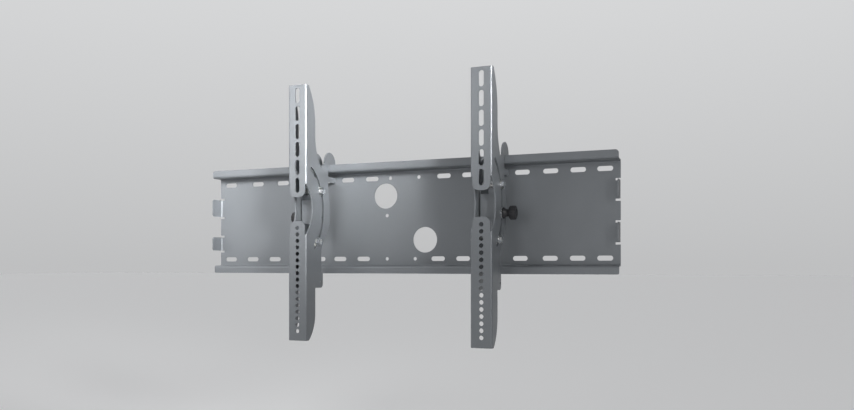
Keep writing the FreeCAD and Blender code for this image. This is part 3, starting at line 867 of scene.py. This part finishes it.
knob = {
    "length": 24.5 * mm,
    "steps": 160,              # points round it
    "sharpFrom": 50.0,
    "collarWidth": 20.0 * mm,
    "collarLength": 3.0 * mm,
    "seatRound": 0.5 * mm,
    "collarRound": 0.8 * mm,
    "taperInset": 0.9 * mm,    # from the collar's edge to where the taper starts
    "taperEnd": 9.0 * mm,
    "taperSteps": 8,
    "taperEase": 2.2,          # higher is more hollow
    "waistWidth": 13.5 * mm,
    "waistRound": 0.9 * mm,
    "headLength": 12.0 * mm,
    "headWidth": 25.0 * mm,
    "headRound": 2.4 * mm,
    "innerStep": 1.0 * mm,     # on the head's back, where the flutes begin
    "innerShare": 0.25,
    "roundShare": 0.4,         # how much of the flutes the head's two rounds start with
    "flutes": 10,
    "fluteRadius": 2.6 * mm,
    "fluteDepth": 0.95 * mm,
    "dishWidth": 15.0 * mm,
    "dishDepth": 0.7 * mm,
    "dishRound": 0.4 * mm,
    "dishFoot": 0.7 * mm,
    "dishSag": 0.15 * mm,
    "dishSagShare": 0.6,
    "gateRadii": (1.9 * mm, 1.5 * mm),    # the moulding's gate mark in the middle of the dish
    "gateHeights": (-0.1 * mm, 0.12 * mm),
    "boreMouth": 4.1 * mm,
    "bore": 4.05 * mm,
    "boreChamfer": 0.2 * mm,
    "studDepth": 18.0 * mm,
}


def fluteShare(angle):
    # how far the head's edge is pulled in at this angle, 0 on a ridge and 1 in the middle of a flute
    s = knob
    step = 2 * math.pi / s["flutes"]
    off = (angle + step / 2) % step - step / 2
    half = s["headWidth"] / 2
    way = half + s["fluteRadius"] - s["fluteDepth"]
    reach = s["fluteRadius"] ** 2 - (way * math.sin(off)) ** 2
    if reach <= 0:
        return 0.0
    cut = half - (way * math.cos(off) - math.sqrt(reach))
    share = max(0.0, cut / s["fluteDepth"])
    return share * share * (3 - 2 * share) if share < 1 else 1.0


def knobBack():
    # from the bore over the collar, the taper and the waist to the head, as (distance from the seat, radius)
    s = knob
    head = s["length"] - s["headLength"]
    waist = s["waistWidth"] / 2
    collar = s["collarWidth"] / 2
    edge = s["seatRound"]
    rim = s["collarRound"]
    inset = s["taperInset"]
    neck = s["waistRound"]
    points = [(0.0, s["boreMouth"]), (0.0, collar - edge)]
    points += cornerArc((edge, collar - edge), edge, 180, 90)
    points += cornerArc((s["collarLength"] - rim, collar - rim), rim, 90, 20)
    for i in range(1, s["taperSteps"] + 1):
        t = i / s["taperSteps"]
        ease = 1 - (1 - t) ** s["taperEase"]
        points.append((s["collarLength"] + (s["taperEnd"] - s["collarLength"]) * t,
                       collar - inset + (waist - collar + inset) * ease))
    points.append((head - neck, waist))
    points += cornerArc((head - neck, waist + neck), neck, -90, 0)[1:]
    return points


def knobHead():
    # the fluted head, as (distance from the seat, radius, how much of the flutes it takes)
    s = knob
    head = s["length"] - s["headLength"]
    half = s["headWidth"] / 2
    r = s["headRound"]
    low = s["roundShare"]
    back = cornerArc((head + r, half - r), r, 180, 90, 4)
    front = cornerArc((s["length"] - r, half - r), r, 90, 0, 5)
    points = [(head, half - r - s["innerStep"], s["innerShare"])]
    points += [(a, b, low + (1 - low) * k / 4) for k, (a, b) in enumerate(back)]
    points += [(a, b, 1.0 - (1 - low) * k / 5) for k, (a, b) in enumerate(front)]
    return points


def knobDish():
    # the dished face with the gate mark, as (distance from the seat, radius)
    s = knob
    dish = s["dishWidth"] / 2
    edge = s["dishRound"]
    floor = s["length"] - s["dishDepth"]
    points = [(s["length"], dish + edge)]
    points += cornerArc((s["length"] - edge, dish + edge), edge, 0, -60, 3)[1:]
    points.append((floor, dish - s["dishFoot"]))
    points.append((floor - s["dishSag"], dish * s["dishSagShare"]))
    points += [(floor + rise, radius) for rise, radius in zip(s["gateHeights"], s["gateRadii"])]
    return points


def makeKnob(side):
    s = knob
    way = arms[side]["knobWay"]
    reach = stack["armHalf"] + stack["slideGap"] + stack["washer"] + stack["slideGap"]
    start = (arms[side]["place"] + way * reach, *guides["knob"])
    profile = [(along, radius, 0) for along, radius in knobBack()]
    profile += knobHead()
    profile += [(along, radius, 0) for along, radius in knobDish()]
    shape = bmesh.new()
    rows = []
    for along, radius, share in profile:
        ring = []
        for i in range(s["steps"]):
            a = 2 * math.pi * i / s["steps"]
            pulled = radius - s["fluteDepth"] * fluteShare(a) * share
            ring.append((pulled * math.cos(a), pulled * math.sin(a)))
        rows.append(plainRing(shape, start, way, ring, along))
    joinRings(shape, rows)
    capRing(shape, rows[-1])
    # the bore that holds the stud
    boreRing = circle(s["bore"], s["steps"])
    depths = (s["boreChamfer"], s["studDepth"])
    bore = [rows[0]] + [plainRing(shape, start, way, boreRing, depth) for depth in depths]
    joinRings(shape, bore)
    capRing(shape, bore[-1])
    name = side + "_tilt_knob"
    mesh = finishMesh(name, shape, s["sharpFrom"])
    newPiece(name + "_made", mesh, side, "knob", "blackPlastic", [name])


stud = {
    "gap": 0.05 * mm,          # round it and behind it in the knob's bore
}


def makeStud(side):
    way = arms[side]["knobWay"]
    x = arms[side]["place"]
    y, z = guides["knob"]
    seat = x + way * (stack["armHalf"] + 2 * stack["slideGap"] + stack["washer"])
    inner = x + way * (stack["hookInner"] - weldNut["height"] - bolt["proud"])
    shape = bmesh.new()
    openRing = addThread(shape, (seat, y, z), -way, abs(seat - inner), 0.0)
    bar = circle(thread["size"] / 2 - stud["gap"], thread["steps"])
    inside = [openRing, plainRing(shape, (seat, y, z), way, bar, knob["studDepth"] - stud["gap"])]
    joinRings(shape, inside)
    capRing(shape, inside[-1])
    name = side + "_knob_stud"
    newPiece(name + "_made", finishMesh(name, shape), side, "knob", "zincPlate", [name])


for side in arms:
    for which in ("upper", "lower"):
        makeGuideBolt(side, which)
        makeLockNut(side, which)
        makeSleeve(side, which)
    makeWashers(side)
    makeDiscs(side)
    makeWeldNut(side)
    makeKnob(side)
    makeStud(side)
    print(side, "fasteners and knob made")
